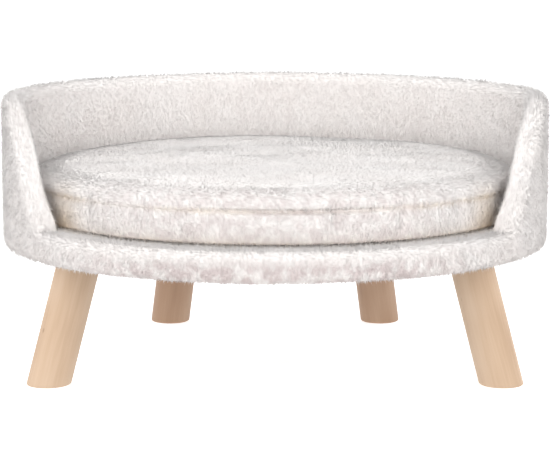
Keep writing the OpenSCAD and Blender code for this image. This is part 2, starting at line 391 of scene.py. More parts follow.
def timber(name, pale, mid, dark, contrast, knots=True):
    """Light wood: soft bands drawn out along Z, fine pores, a few small knots."""
    material, tree, coords = new_material(name)
    bands = cloudy(tree, stretched(tree, coords, 0.10), 75.0, 2.0, 0.4)
    pores = cloudy(tree, stretched(tree, coords, 0.04), 620.0)
    cloud = cloudy(tree, coords, 18.0, 1.0)
    pore_weight, cloud_weight = 0.35 * contrast, 0.6
    total = multiply_add(tree, pores, pore_weight, bands)
    total = multiply_add(tree, cloud, cloud_weight, total)
    middle = 0.5 + 0.5 * (pore_weight + cloud_weight)
    limits = {"Value": total, "From Min": middle - 0.45 / contrast,
              "From Max": middle + 0.55 / contrast}
    tone = add_node(tree, "MapRange", limits).outputs["Result"]
    surface = ramp(tree, tone, [(0, pale), (0.5, mid), (1, dark)])
    if knots:
        cells = cell_distance(tree, stretched(tree, coords, 0.6), 30.0)
        spot = ramp(tree, cells, [(0.015, (0.75, 0.75, 0.75)), (0.06, (0, 0, 0))])
        surface = tinted(tree, surface, spot, KNOT_BROWN)
    return finish_material(material, surface, 0.55, pores, 0.2, 0.2 * MM)


def foam_material():
    material, tree, coords = new_material("foam")
    cells = cell_distance(tree, coords, 700.0)
    colour = ramp(tree, cells, [(0.0, (0.62, 0.55, 0.36)), (0.6, (0.80, 0.74, 0.52))])
    return finish_material(material, colour, 0.95, cells, 0.6, 0.5 * MM)


def cloth_material(name, dark, light, threads):
    """Plain woven or bonded cloth: two crossed sets of threads and a fine mottle."""
    material, tree, coords = new_material(name)
    inputs = {"Vector": coords, "Scale": threads, "Distortion": 0.6}
    warp, weft = (add_node(tree, "TexWave", inputs, bands_direction=axis).outputs["Fac"]
                  for axis in "XY")
    cross = multiply(tree, warp, weft)
    both = multiply_add(tree, cross, 0.5, cloudy(tree, coords, 60.0, 4.0))
    colour = ramp(tree, both, [(0.35, dark), (0.95, light)])
    return finish_material(material, colour, 0.9, cross, 0.5, 0.3 * MM)


def metal_material(name, colour, roughness):
    material, tree, coords = new_material(name)
    smear = cloudy(tree, coords, 300.0)
    surface = ramp(tree, smear, [(0.3, tuple(c * 0.86 for c in colour)), (0.7, colour)])
    return finish_material(material, surface, roughness, smear, 0.15, 0.1 * MM, Metallic=1.0)


# Painted shade: the warm tan of light bounced in creases and corners
CREASE_SHADE_TAN = (0.78, 0.63, 0.46)
# Painted shade: rosy grey between the pile's clumps, low on the base and round the cushion's side
CLUMP_SHADE_ROSE = (0.70, 0.61, 0.60)
# How much of that painted shade lies everywhere
CALM_CLUMP_SHADE = 0.1
PLUSH = plush("plush", (0.925, 0.885, 0.86), (0.965, 0.938, 0.92))
KNOT_BROWN = (0.30, 0.18, 0.10)
LEG_WOOD = timber("leg_wood", (0.70, 0.53, 0.385), (0.61, 0.435, 0.295),
                  (0.46, 0.30, 0.185), 1.1)
# The back legs' wood: a darker copy of the same wood, painted shade from the drum above them
LEG_WOOD_SHADED = timber("leg_wood_back", (0.47, 0.31, 0.205), (0.385, 0.235, 0.145),
                       (0.29, 0.165, 0.10), 1.1)
PLYWOOD = timber("plywood", (0.72, 0.56, 0.38), (0.60, 0.43, 0.26),
                 (0.42, 0.28, 0.16), 2.0, False)
FOAM = foam_material()
DUST_CLOTH = cloth_material("dust_cloth", (0.012, 0.012, 0.013), (0.035, 0.035, 0.037), 160.0)
LINING = cloth_material("lining", (0.55, 0.51, 0.47), (0.74, 0.71, 0.67), 220.0)
FIBRE = cloth_material("fibre_fill", (0.80, 0.80, 0.79), (0.92, 0.92, 0.91), 60.0)
ZIP_CLOTH = cloth_material("zip_tape", (0.62, 0.58, 0.54), (0.80, 0.77, 0.73), 420.0)
ZINC = metal_material("zinc_steel", (0.60, 0.61, 0.63), 0.35)
NICKEL = metal_material("zip_metal", (0.72, 0.71, 0.69), 0.22)

NODE_MATERIALS = {
    "plywood": PLYWOOD, "foam": FOAM, "cream_fur": PLUSH, "dust_cloth": DUST_CLOTH,
    "base_cloth": LINING, "fibre_fill": FIBRE, "zip_tape": ZIP_CLOTH,
    "leg_wood": LEG_WOOD, "zinc_steel": ZINC, "zip_metal": NICKEL,
}


def dress_cad_nodes():
    """Gives every node of the CAD its material, for those that no piece replaces."""
    for row in frame["record"]["subparts"]:
        node = frame["nodes"][row["node"]]
        node.data.materials.clear()
        node.data.materials.append(NODE_MATERIALS[row["material_slot"]])


# ---- fur

def hairs(name, roots, normals, naps, seed, length, lift, clumping, limit=None):
    """Short tapered tufts that lean along the nap, in clumps, as closed three-sided spikes."""
    rng = np.random.default_rng(seed)
    count = len(roots)
    clump = np.stack([noise(roots, 10 * MM, 11 + i) for i in range(3)], -1)
    swirl = np.stack([noise(roots, 45 * MM, 21 + i) for i in range(3)], -1)
    loose = rng.normal(size=(count, 3))
    lean = naps + clumping * (0.8 * clump + 0.5 * swirl) + 0.30 * loose
    lean -= normals * np.sum(lean * normals, axis=1, keepdims=True)
    direction = unit(normals * lift + lean * 0.8)
    side = unit(np.cross(direction, unit(loose + 0.01)))
    other = np.cross(direction, side)
    long = length * rng.uniform(0.65, 1.15, (count, 1))
    wide = HAIR_WIDTH * rng.uniform(0.7, 1.25, (count, 1))
    foot = roots - normals * ROOT_DEPTH
    tip = roots + direction * long
    if limit is not None:
        tip = limit(tip)
    ring = [foot + wide * (math.cos(a) * side + math.sin(a) * other)
            for a in (0.0, TAU / 3, 2 * TAU / 3)]
    points = np.stack([*ring, tip], 1).reshape(-1, 3)
    base = np.arange(count)[:, None] * TUFT_POINTS
    spike = ([0, 2, 1], [0, 1, 3], [1, 2, 3], [2, 0, 3])
    faces = np.stack([base + np.array(f) for f in spike], 1).reshape(-1, 3)
    place = np.stack([(angle_of(roots) / TAU + 0.5), np.clip(roots[:, 2] / 0.3, 0, 1)], -1)
    place = place * 0.98 + 0.01
    spread = 0.0011
    offsets = np.array([[-spread, -spread], [spread, -spread], [0, -spread], [0, spread]])
    uv = (place[:, None] + offsets[None]).reshape(-1, 2)[faces.ravel()]
    piece = make_mesh(name, points, faces, uv)
    # Each tuft is shaded mostly like the surface it grows from, which reads as soft pile
    leant = unit(normals + 0.12 * clumping * clump)
    tufts = points.reshape(count, TUFT_POINTS, 3)
    shade = unit(leant[:, None] + 0.1 * unit(tufts - tufts.mean(1, keepdims=True)))
    piece.data.normals_split_custom_set_from_vertices(shade.reshape(-1, 3))
    # Fine pile lets light through, so it throws no shadow of its own
    piece.visible_shadow = False
    return piece


def grow(name, body, pile, chosen, seed, *shape):
    """A piece of fur on the chosen ones of a pile's roots, normals and naps."""
    roots, normals, naps = (values[chosen] for values in pile)
    piece = hairs(name, roots, normals, naps, seed, *shape)
    tufts = np.repeat(roots, TUFT_POINTS, axis=0)
    mark_painted_crease_shade(piece, tufts, body == "frame")
    mark_painted_clump_shade(piece, tufts)
    finish_piece(piece, body, "cream_fur", PLUSH)


def scatter(piece, per_square_metre, seed, keep):
    """Even random roots on a mesh where keep(centres, face normals, face numbers) holds."""
    mesh = piece.data
    mesh.calc_loop_triangles()
    tris = read(mesh.loop_triangles, "vertices", 3, np.int32)
    numbers = read(mesh.loop_triangles, "polygon_index", 1, np.int32)[:, 0]
    co, no = vertex_arrays(mesh)
    a, b, c = co[tris[:, 0]], co[tris[:, 1]], co[tris[:, 2]]
    cross = np.cross(b - a, c - a)
    area = np.linalg.norm(cross, axis=1) / 2
    facing = unit(cross)
    area = np.where(keep((a + b + c) / 3, facing, numbers), area, 0)
    rng = np.random.default_rng(seed)
    total = int(area.sum() * per_square_metre)
    # Evenly spaced places along the running area give an even cover
    running = np.cumsum(area)
    places = (np.arange(total) + rng.uniform(0, 1, total)) / total * running[-1]
    chosen = np.minimum(np.searchsorted(running, places), len(area) - 1)
    s, t = rng.uniform(0, 1, (2, total))
    s, t = np.where(s + t > 1, 1 - s, s), np.where(s + t > 1, 1 - t, t)
    weights = np.stack([1 - s - t, s, t], -1)[:, :, None]
    corner = tris[chosen]
    roots = (co[corner] * weights).sum(1)
    normals = unit((no[corner] * weights).sum(1))
    return roots, normals


# ---- the covered drum

def wall_top(y):
    """Height of the wall's top edge at a place from front to back."""
    turn = math.pi / 2 - OPENING_LEAN
    corner_y = -OPENING_Y + (RIM_Z - DECK_Z) * math.tan(OPENING_LEAN)
    centre_y = corner_y + OPENING_ROUND * math.tan(turn / 2)
    centre_z = RIM_Z - OPENING_ROUND
    edge_y = centre_y - OPENING_ROUND * math.cos(OPENING_LEAN)
    straight = DECK_Z + (y + OPENING_Y) / math.tan(OPENING_LEAN)
    arc = centre_z + np.sqrt(np.maximum(OPENING_ROUND ** 2 - (centre_y - y) ** 2, 0))
    top = np.where(y < edge_y, straight, np.where(y < centre_y, arc, RIM_Z))
    return np.clip(top, DECK_Z, RIM_Z)


def mark_painted_clump_shade(piece, points):
    """Marks painted rosy-grey shade between the pile's clumps: low on the front of the base, and
    round the cushion's side.
    """
    radius, z = radius_of(points), points[:, 2]
    on_drum = radius > CUSHION_R + 4 * MM
    front = 0.15 + 0.85 * rising(np.abs(angle_of(points)), 48 * DEG, -22 * DEG)
    base = rising(z, DECK_Z - 6 * MM, -10 * MM) * on_drum
    side = 0.5 * rising(radius, 0.88 * CUSHION_R, 0.08 * CUSHION_R) * (z > DECK_Z) * ~on_drum
    mark(piece, "painted_clump_shade", (base + side) * front + CALM_CLUMP_SHADE)


def soft_wall_top(angles, radius):
    """The wall's top along a circle, with the corners of its outline softened."""
    reach = np.linspace(-1.3, 1.3, 9)
    weights = bell(reach)
    spread = np.radians(reach)[:, None] + angles[None]
    depth = -radius * np.cos(spread) + WALL_END_FORWARD
    return (wall_top(depth) * weights[:, None]).sum(0) / weights.sum()


def arc_points(centre_r, centre_z, wide, tall, start, stop, count):
    """A quarter of an ellipse or so, from a start to a stop angle in degrees."""
    a = np.radians(np.linspace(start, stop, count))
    return np.stack([centre_r + wide * np.cos(a), centre_z + tall * np.sin(a)], -1)


def run_along(path):
    """How far along a path each of its points lies."""
    return np.r_[0, np.cumsum(np.linalg.norm(np.diff(path, axis=0), axis=1))]


def placed(path, run, at):
    """The points of a path where its run reaches each of some values."""
    return np.stack([np.interp(at, run, path[:, i]) for i in range(2)], -1)


def resample(path, count):
    run = run_along(path)
    return placed(path, run, np.linspace(0, run[-1], count))


def leg_hole_reach(angle):
    """Radius out to which a leg's hole cuts the turned-in margin at an angle, or zero."""
    reach = np.zeros_like(angle)
    for centre in LEG_ANGLES:
        apart = turn_from(centre, angle)
        across = LEG_HOLE_AT * np.sin(apart)
        inside = (np.abs(across) < LEG_HOLE_R) & (np.abs(apart) < 1)
        edge = LEG_HOLE_AT * np.cos(apart) + np.sqrt(np.maximum(LEG_HOLE_R ** 2 - across ** 2, 0))
        reach = np.where(inside, edge, reach)
    return reach


def cover_section(top, slope, slant, hole, depth, count):
    """Half section of the cover at one angle: under the base, up the outside, over the
    wall's top or the base's edge, and back over the deck. depth draws it in under the pile;
    slope is the steepness of the wall's edge, which draws its roundings out in height;
    slant is how much the wall's top rises for each step inwards across its thickness."""
    outer = DRUM_R - depth
    inner = DRUM_R - WALL_T + depth
    low = UNDERSIDE_Z + 1 * MM
    deck = DECK_Z - depth * 0.5
    stretch = min(math.hypot(1, slope), 2.3)
    crest = max(top - depth * stretch, deck)
    height = crest - deck
    half = (outer - inner) / 2
    low_round = 9 * MM
    out_round = EDGE_ROUND + (half - EDGE_ROUND) * min(1, height / (20 * MM))
    out_tall = min(half * stretch, EDGE_ROUND + height)
    in_tall = max(min(half * stretch, height * 0.4), 0.1 * MM)
    in_round = min(half, max(height * 0.4, 0.1 * MM))
    fillet = max(min(4 * MM, height * 0.3), 0.1 * MM)
    margin = max(TURN_IN_R, hole + 0.3 * MM)
    parts = [
        np.array([[margin, low]]),
        arc_points(outer - low_round, low + low_round, low_round, low_round, -90, 0, 12),
        arc_points(outer - out_round, crest - out_tall, out_round, out_tall, 0, 90, 14),
        arc_points(inner + in_round, crest - in_tall, in_round, in_tall, 90, 180, 14),
        arc_points(inner - fillet, deck + fillet, -fillet, -fillet, 180, 90, 6),
        np.array([[TURN_IN_R, deck]]),
    ]
    path = resample(np.concatenate(parts), count)
    share = rising(path[:, 1], deck, max(height, 4 * MM))
    path[:, 1] += ((outer + inner) / 2 - path[:, 0]) * slant * share
    return path


def drum_angles():
    """Angles round the drum, closer together where the wall's ends rise."""
    stretches = (-54, 54, 0.8), (54, 92, 0.36), (92, 268, 0.8), (268, 306, 0.36)
    return np.radians(np.concatenate([np.arange(*s) for s in stretches]))


# Points across the cover's skin and round its whole section, and the cloth's thickness
COVER_SKIN = 120
COVER_RING = 134
BACKING_T = 0.9 * MM


def build_cover():
    """The fur cover of the drum as one closed shell: its outside, and a coarser inside."""
    angles = drum_angles()
    middle = DRUM_R - WALL_T / 2
    tops = soft_wall_top(angles, middle)
    step = 0.5 * DEG
    rise = soft_wall_top(angles + step, middle) - soft_wall_top(angles - step, middle)
    slopes = rise / (2 * step * middle)
    in_r, out_r = DRUM_R - WALL_T + PILE_DEPTH, DRUM_R - PILE_DEPTH
    slants = (soft_wall_top(angles, in_r) - soft_wall_top(angles, out_r)) / (out_r - in_r)
    holes = leg_hole_reach(angles)
    outside, inside = COVER_SKIN, COVER_RING - COVER_SKIN
    rings = []
    for a, top, slope, slant, hole in zip(angles, tops, slopes, slants, holes):
        skin = cover_section(top, slope, slant, hole, PILE_DEPTH, outside)
        back = cover_section(top, slope, slant, hole, PILE_DEPTH + BACKING_T, inside)[::-1]
        section = np.concatenate([skin, back])
        rings.append(around(a, section[:, 0], section[:, 1]))
    grid = np.stack(rings)
    across, along = grid.shape[1], grid.shape[0]
    points = grid.reshape(-1, 3)
    i, j = np.meshgrid(np.arange(along), np.arange(across), indexing="ij")
    i2, j2 = (i + 1) % along, (j + 1) % across
    faces = np.stack([i * across + j, i2 * across + j, i2 * across + j2, i * across + j2], -1)
    faces = faces.reshape(-1, 4)
    uv = np.stack([np.stack([(i + a) / along, (j + b) / across], -1)
                   for a, b in ((0, 0), (1, 0), (1, 1), (0, 1))], 2)
    piece = make_mesh("drum_cover", points, faces, uv.reshape(-1, 2))
    # Quilted softness: long low swells in the plush and clumps low on the base's side
    outer = np.tile(np.arange(across) < outside, along)
    co, no = vertex_arrays(piece.data)
    low_side = rising(co[:, 2], DECK_Z, -14 * MM)
    swell = 0.2 * MM + noise(co, 60 * MM, 3) * 0.4 * MM
    swell += noise(co, 9 * MM, 4) * (0.15 * MM + 0.35 * MM * low_side)
    co += no * (swell * outer)[:, None]
    move_points(piece, co)
    mark_painted_clump_shade(piece, co)
    mark_painted_crease_shade(piece, co, on_frame=True)
    finish_piece(piece, "frame", "cream_fur", PLUSH, "outer_cover")
    return piece


def fur_on_cover(cover):
    """Hairs on the drum's cover, in pieces by where they lie."""
    def on_skin(centres, facing, numbers):
        """True on the shell's outside: each ring's first faces are its skin."""
        beyond = radius_of(centres) > TURN_IN_R + 0.5 * MM
        return beyond & (numbers % COVER_RING < COVER_SKIN - 1)

    roots, normals = scatter(cover, HAIRS_PER_M2, 31, on_skin)
    naps = unit([0, 0, -1] - 0.15 * unit(roots * [1, 1, 0]))
    outside = radius_of(roots) > DRUM_R - WALL_T / 2
    under = roots[:, 2] < UNDERSIDE_Z + 3 * MM
    outside, inside = outside & ~under, ~outside & ~under
    back = np.abs(angle_of(roots)) > 125 * DEG
    # name: which roots, hair length, lift off the surface, clumping
    groups = {
        "fur_under": (under, UNDER_HAIR, 0.25, 0.5),
        "fur_outside_front": (outside & ~back, HAIR_LENGTH, 0.55, 0.8),
        "fur_outside_back": (outside & back, HAIR_LENGTH, 0.55, 0.8),
        "fur_inside_sides": (inside & ~back, INSIDE_HAIR, 0.42, 0.3),
        "fur_inside_back": (inside & back, INSIDE_HAIR, 0.42, 0.3),
    }
    for number, (name, (chosen, *pile)) in enumerate(groups.items()):
        grow(name, "frame", (roots, normals, naps), chosen, 100 + number * 10, *pile)


def disc_grid(radius, spacing, top, bottom):
    """A closed flat disc: a polar grid on its top, a coarse fan below."""
    rings = max(int(radius / spacing), 4)
    count = max(int(TAU * radius / spacing), 48)
    angles = circle(count)
    rows = [around(angles, radius * (k + 1) / rings, top) for k in range(rings)]
    rows.append(around(angles, radius, bottom))
    points = np.concatenate([np.concatenate(rows), [[0, 0, top], [0, 0, bottom]]])
    steps = [(i, (i + 1) % count) for i in range(count)]
    last, centre = rings * count, (rings + 1) * count
    faces = [[i, j, centre] for i, j in steps]
    for k in range(0, last, count):
        faces += [[k + i, k + count + i, k + count + j, k + j] for i, j in steps]
    faces += [[last + j, last + i, centre + 1] for i, j in steps]
    return points, faces


def build_deck():
    """The deck panel inside the drum: short flattened plush, seen once the cushion is out."""
    points, faces = disc_grid(TURN_IN_R - 0.3 * MM, 5 * MM, DECK_Z - 1.4 * MM,
                              DECK_Z - 3 * MM)
    piece = make_mesh("deck_panel", points, faces)
    co, _ = vertex_arrays(piece.data)
    top = co[:, 2] > DECK_Z - 2 * MM
    co[:, 2] += top * (noise(co, 55 * MM, 71) * 0.4 * MM + noise(co, 12 * MM, 72) * 0.2 * MM)
    move_points(piece, co)
    finish_piece(piece, "frame", "cream_fur", PLUSH, "deck_cover")

    def on_top(centres, facing, numbers):
        return facing[:, 2] > 0.7

    def below_cushion(tips):
        tips[:, 2] = np.minimum(tips[:, 2], DECK_Z - 0.1 * MM)
        return tips

    roots, normals = scatter(piece, DECK_HAIRS_PER_M2, 81, on_top)
    nap = np.array([0.1, -1.0, 0.0])
    fur = hairs("fur_deck", roots, normals, nap, 310, DECK_HAIR, 0.3, 1.0, below_cushion)
    mark_painted_crease_shade(fur, np.repeat(roots, TUFT_POINTS, axis=0), on_frame=True)
    finish_piece(fur, "frame", "cream_fur", PLUSH)


def build_dust_cover():
    """Thin black cloth under the base, cut for the legs."""
    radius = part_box("dust_cover")[1][0] - 0.3 * MM
    points, faces = disc_grid(radius, 4 * MM, UNDERSIDE_Z + 0.9 * MM, UNDERSIDE_Z + 0.2 * MM)
    piece = make_mesh("dust_cloth", points, faces, smooth=False)
    for centre in LEG_ANGLES:
        place = Vector(around(centre, LEG_HOLE_AT, UNDERSIDE_Z + 0.5 * MM).tolist())
        bpy.ops.mesh.primitive_cylinder_add(vertices=48, radius=LEG_HOLE_R, depth=8 * MM,
                                            location=place)
        cutter = bpy.context.active_object
        hole = piece.modifiers.new("hole", "BOOLEAN")
        hole.object = cutter
        hole.operation = "DIFFERENCE"
        hole.solver = "EXACT"
        apply_modifiers(piece)
        bpy.data.objects.remove(cutter)
    finish_piece(piece, "frame", "dust_cloth", DUST_CLOTH, "dust_cover")


# ---- the cushion

# Puckers in the side band: angle from straight ahead in degrees, depth and width in
# millimetres, and how far each leans sideways over the band's height
PUCKERS = [(13.5, 6.5, 4.2, 0.10), (29.5, 5.0, 4.5, 0.25), (-13.0, 3.6, 5.0, -0.15),
           (-32.0, 3.2, 5.0, 0.10), (-47.0, 2.6, 7.0, 0.0), (46.0, 3.4, 6.0, -0.15),
           (1.0, 1.6, 8.0, 0.2), (-22.0, 1.6, 7.0, 0.0)]
STRAY_PUCKERS = 26
BAND_R = CUSHION_R - 1.2 * MM
VISUAL_SEAM_Z = CUSHION_SEAM_Z + 2 * MM
CROWN_Z = CUSHION_TOP_Z - 1.5 * MM
# Steps round the pad that is puffed up, and rows and steps round the cushion's skin
BLANK_STEPS = 150
SKIN_ROWS, SKIN_STEPS = 124, 460


def cushion_profile(inset, count):
    """Half section of the cushion from its base's edge, up the side band, round the soft
    shoulder to the middle of the crown, drawn in by an inset."""
    low = CUSHION_LOW_Z + inset
    edge = BAND_R - inset
    band = np.array([[edge - 0.3 * MM, low + 9 * MM], [edge, VISUAL_SEAM_Z - 12 * MM],
                     [edge - 0.8 * MM, VISUAL_SEAM_Z - 1 * MM]])
    shoulder_z = VISUAL_SEAM_Z + 2 * MM
    shoulder = arc_points(edge - SHOULDER_WIDE, shoulder_z, SHOULDER_WIDE,
                          CROWN_Z - SHOULDER_DROP - shoulder_z - inset, -4, 84, 18)
    last_r, last_z = shoulder[-1]
    reach = np.linspace(1, 0, 24)[1:]
    crown_z = last_z + (CROWN_Z - inset - last_z) * (1 - reach ** 2)
    crown = np.stack([last_r * reach, crown_z], -1)
    path = np.concatenate([
        np.array([[edge - 9 * MM, low + 1.4 * MM], [edge - 7 * MM, low + 0.3 * MM]]),
        arc_points(edge - 3 * MM, low + 2.4 * MM, 2.4 * MM, 2.1 * MM, -90, -10, 9),
        band, shoulder, crown])
    return resample(path, count)


def cushion_blank():
    """A round pad, a little smaller than the finished cushion, as a lathed solid."""
    path = cushion_profile(PUFF, 40)[:-1]
    ends = [[0, 0, path[0, 1]], [0, 0, path[-1, 1]]]
    points = np.concatenate([revolve(path, BLANK_STEPS), ends])
    return make_mesh("cushion_blank", points, lathed_faces(len(path), BLANK_STEPS))


def inflate(piece, pressure, cap, frames=20):
    """Cloth with inner pressure and no gravity, each point's travel capped."""
    start, _ = vertex_arrays(piece.data)
    cloth = piece.modifiers.new("Cloth", "CLOTH")
    settings = cloth.settings
    settings.use_pressure = True
    settings.uniform_pressure_force = pressure
    settings.effector_weights.gravity = 0
    settings.quality = 5
    cloth.point_cache.frame_start = 1
    cloth.point_cache.frame_end = frames
    scene = bpy.context.scene
    for number in range(1, frames + 1):
        scene.frame_set(number)
    graph = bpy.context.evaluated_depsgraph_get()
    moved = bpy.data.meshes.new_from_object(piece.evaluated_get(graph))
    end, _ = vertex_arrays(moved)
    bpy.data.meshes.remove(moved)
    piece.modifiers.remove(cloth)
    scene.frame_set(1)
    travel = end - start
    far = np.linalg.norm(travel, axis=1, keepdims=True)
    end = start + travel * np.minimum(1, cap / np.maximum(far, 1e-9))
    move_points(piece, end)


def front_bulge(angle):
    """How far the cushion stands out between the wall's two ends."""
    return FRONT_BULGE * rising(np.abs(angle), 50 * DEG, -14 * DEG)


def shape_cushion(co):
    """Adds the seam round the side, the puckers that hang from it, the slump of a soft
    filling and the groove of the zip, and keeps the pad in its place."""
    radius = radius_of(co)
    angle = angle_of(co)
    z = co[:, 2].copy()
    side = rising(radius, 0.86 * CUSHION_R, 0.1 * CUSHION_R)
    # The seam wanders a little as it goes round
    circuit = around(angle, 0.2, 0)
    seam = VISUAL_SEAM_Z + noise(circuit, 50 * MM, 41) * 1.6 * MM
    rise = z - seam
    # and it is drawn tight at the front and nearly buried in the pile to either side
    front = bell((np.degrees(angle) - 8) / 24) + 0.6 * (np.abs(angle) > 75 * DEG)
    tight = np.clip(front + 0.4 * noise(circuit, 42 * MM, 42), 0.06, 1)
    groove = bell(rise / (1.8 * MM)) * 3.0 * MM * tight
    groove += bell(rise / (8 * MM)) * 1.6 * MM * (0.3 + 0.7 * tight)
    drawn_in = groove * side
    height = rise / (16 * MM)
    rng = np.random.default_rng(7)
    puckers = list(PUCKERS)
    for _ in range(STRAY_PUCKERS):
        puckers.append((rng.uniform(66, 294), rng.uniform(1.5, 3.8), rng.uniform(4.5, 8.0), 0.0))
    for degrees, depth, width, lean in puckers:
        middle = math.radians(degrees) + lean * height * 0.05
        fold = bell(turn_from(middle, angle) * CUSHION_R / (width * MM))
        below = np.clip(1 - np.abs(height + 0.45) * 0.8, 0, 1)
        above = 0.6 * bell((height - 0.25) / 0.35)
        drawn_in = drawn_in + depth * MM * fold * np.maximum(below, above) * side
    # Lumps of the filling
    upper = eased(rising(z, seam, 20 * MM))
    lumps = noise(co, 80 * MM, 51) * 2.4 * MM + noise(co, 30 * MM, 52) * 0.7 * MM
    z = z + lumps * upper
    bulges = noise(co, 34 * MM, 53) * 1.2 * MM + noise(co, 11 * MM, 54) * 0.6 * MM
    radius = radius - drawn_in + (bulges - 0.3 * MM) * side
    # The zip lies in a straight groove
    back = np.abs(turn_from(math.pi, angle))
    at_zip = rising(back, ZIP_HALF_SPAN + 0.03, -0.02)
    at_zip = at_zip * rising(np.abs(z - ZIP_Z), 8 * MM, -2.5 * MM)
    grooved = np.minimum(radius, radius + (ZIP_R - 0.4 * MM - radius) * at_zip)
    radius = np.where(at_zip > 0, grooved, radius)
    # Its lower edge presses into the deck's pile, and it bulges a little between the walls
    sunk = rising(radius, 0.9 * CUSHION_R, 0.05 * CUSHION_R)
    sunk = EDGE_SINK * sunk * np.exp(-np.maximum(z - CUSHION_LOW_Z, 0) / (6 * MM))
    bulge = front_bulge(angle)
    out = bulge * side * np.clip(0.7 - rise / (60 * MM), 0, 1)
    radius = np.minimum(radius + out, BAND_R + bulge)
    z = np.clip(z - sunk, CUSHION_LOW_Z + 0.3 * MM - sunk, CROWN_Z)
    return around(angle, radius, z)


def build_cushion():
    """The cushion: a pad puffed up as cloth, then taken over by a regular lathed skin
    whose rows lie close together at the seam."""
    blank = cushion_blank()
    remesh = blank.modifiers.new("Remesh", "REMESH")
    remesh.mode = "VOXEL"
    remesh.voxel_size = 5 * MM
    apply_modifiers(blank)
    inflate(blank, 4.0, PUFF)
    smooth = blank.modifiers.new("Smooth", "SMOOTH")
    smooth.factor = 0.5
    smooth.iterations = 2
    apply_modifiers(blank)
    co, _ = vertex_arrays(blank.data)
    blank.data.calc_loop_triangles()
    tree = BVHTree.FromPolygons(co.tolist(), [t.vertices[:] for t in blank.data.loop_triangles])
    bpy.data.objects.remove(blank)

    fine = cushion_profile(0, 2000)
    run = run_along(fine)
    near_seam = bell((fine[:, 1] - VISUAL_SEAM_Z) / (5 * MM)) * (fine[:, 0] > 0.9 * BAND_R)
    closeness = 0.4 + 3.0 * near_seam + 0.7 * (fine[:, 0] > 0.85 * BAND_R)
    weight = np.r_[0, np.cumsum(np.diff(run) * closeness[1:])]
    rows, count = SKIN_ROWS, SKIN_STEPS
    at = np.interp(np.linspace(0, weight[-1], rows + 1)[:-1], weight, np.arange(len(run)))
    path = placed(fine, np.arange(len(run)), at)
    grid = revolve(path, count)
    # Where the puffed pad lies nearest, within a few millimetres
    puffed = np.array([tree.find_nearest(Vector(point))[0] for point in grid])
    shift = (puffed - grid).reshape(count, rows, 3)
    far = np.linalg.norm(shift, axis=2, keepdims=True)
    shift = shift * np.minimum(1, 4 * MM / np.maximum(far, 1e-9))
    for _ in range(12):
        shift = (np.roll(shift, 3, 0) + shift + np.roll(shift, -3, 0)) / 3
        ends = np.concatenate([shift[:, :1], shift, shift[:, -1:]], 1)
        shift = (ends[:, :-2] + ends[:, 1:-1] + ends[:, 2:]) / 3
    grid = grid + shift.reshape(-1, 3)
    grid = shape_cushion(grid)
    top = grid[rows - 1::rows].mean(0)
    points = np.concatenate([grid, [[0, 0, CUSHION_LOW_Z + 1.5 * MM], [0, 0, top[2]]]])
    piece = make_mesh("cushion_cover", points, lathed_faces(rows, count),
                      lathed_uv(rows, count))
    mark_painted_crease_shade(piece, points)
    mark_painted_clump_shade(piece, points)
    return piece


def mark_painted_crease_shade(piece, points, on_frame=False):
    """Marks painted warm shade where the cushion is pressed against the deck, at the seam and by
    the wall's ends.
    """
    angle = np.abs(angle_of(points))
    radius, z = radius_of(points), points[:, 2]
    side = rising(radius, 0.93 * CUSHION_R, 0.05 * CUSHION_R)
    patch = np.clip(0.6 + 0.7 * noise(points, 60 * MM, 91), 0, 1)
    contact = np.exp(-np.maximum(z - CUSHION_LOW_Z, 0) / (4.5 * MM)) * (0.5 + 0.5 * patch)
    seam = bell((z - VISUAL_SEAM_Z) / (2.5 * MM)) * 0.55 * patch
    ends = bell((angle - 57 * DEG) / (6.5 * DEG))
    ends = 0.75 * ends * np.clip(1.25 - (z - CUSHION_LOW_Z) / (42 * MM), 0, 1)
    beyond = rising(radius, CUSHION_R + 1 * MM, 3 * MM)
    painted_crease_shade = np.clip((contact + seam + ends) * side * (1 - beyond), 0, 1)
    # The frame's own pile takes only a little of the painted shade, and only in front
    if on_frame:
        painted_crease_shade = 0.3 * painted_crease_shade * rising(angle, 62 * DEG, -8 * DEG)
    mark(piece, "painted_crease_shade", painted_crease_shade)


